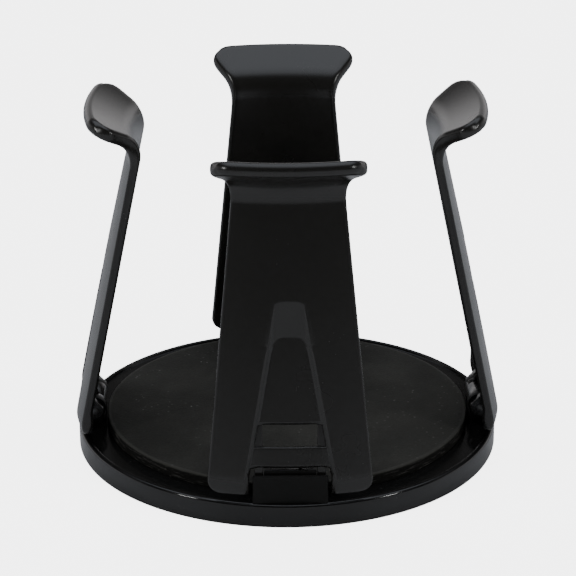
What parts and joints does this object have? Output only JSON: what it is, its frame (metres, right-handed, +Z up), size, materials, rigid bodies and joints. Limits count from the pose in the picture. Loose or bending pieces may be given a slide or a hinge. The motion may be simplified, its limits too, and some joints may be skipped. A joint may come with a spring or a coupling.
{
  "type": "cup holder expander",
  "caption": "Round tray with a soft mat and sprung, inward-leaning side arms that close around a large cup or bottle.",
  "frame": {"origin": "middle of the tray's underside, on the table the tray stands on", "axes": "+Z up out of the tray, +X to the right arm and +Y to the back arm, seen from the front"},
  "size_m": [0.11, 0.11, 0.0931],
  "materials": {
    "tray_plastic": "glossy black moulded plastic",
    "mat_rubber": "matte, finely grained soft rubber",
    "arm_plastic": "smooth black moulded plastic",
    "bracket_plastic": "black moulded plastic",
    "steel": "plain drawn steel"
  },
  "bodies": {
    "base": {"base_tray": "tray_plastic", "grip_mat": "mat_rubber", "hinge_bracket_right": "bracket_plastic", "hinge_bracket_back": "bracket_plastic", "hinge_bracket_left": "bracket_plastic", "hinge_bracket_front": "bracket_plastic", "torsion_spring_right": "steel", "torsion_spring_back": "steel", "torsion_spring_left": "steel", "torsion_spring_front": "steel", "bracket_screws": "steel"},
    "right_arm": {"arm_right": "arm_plastic", "hinge_pin_right": "steel"},
    "back_arm": {"arm_back": "arm_plastic", "hinge_pin_back": "steel"},
    "left_arm": {"arm_left": "arm_plastic", "hinge_pin_left": "steel"},
    "front_arm": {"arm_front": "arm_plastic", "hinge_pin_front": "steel"}
  },
  "joints": [
    {"name": "hinge_right", "type": "hinge", "parent": "base", "child": "right_arm", "pos_m": [0.0504, 0, 0.011], "axis": [0, 1, 0], "range_deg": [0, 15], "stiffness_Nm_per_rad": 0.2, "springref_deg": -20.05, "deforming": ["torsion_spring_right"]},
    {"name": "hinge_back", "type": "hinge", "parent": "base", "child": "back_arm", "pos_m": [0, 0.0504, 0.011], "axis": [-1, 0, 0], "range_deg": [0, 15], "stiffness_Nm_per_rad": 0.2, "springref_deg": -20.05, "deforming": ["torsion_spring_back"]},
    {"name": "hinge_left", "type": "hinge", "parent": "base", "child": "left_arm", "pos_m": [-0.0504, 0, 0.011], "axis": [0, -1, 0], "range_deg": [0, 15], "stiffness_Nm_per_rad": 0.2, "springref_deg": -20.05, "deforming": ["torsion_spring_left"]},
    {"name": "hinge_front", "type": "hinge", "parent": "base", "child": "front_arm", "pos_m": [0, -0.0504, 0.011], "axis": [1, 0, 0], "range_deg": [0, 15], "stiffness_Nm_per_rad": 0.2, "springref_deg": -20.05, "deforming": ["torsion_spring_front"]}
  ]
}
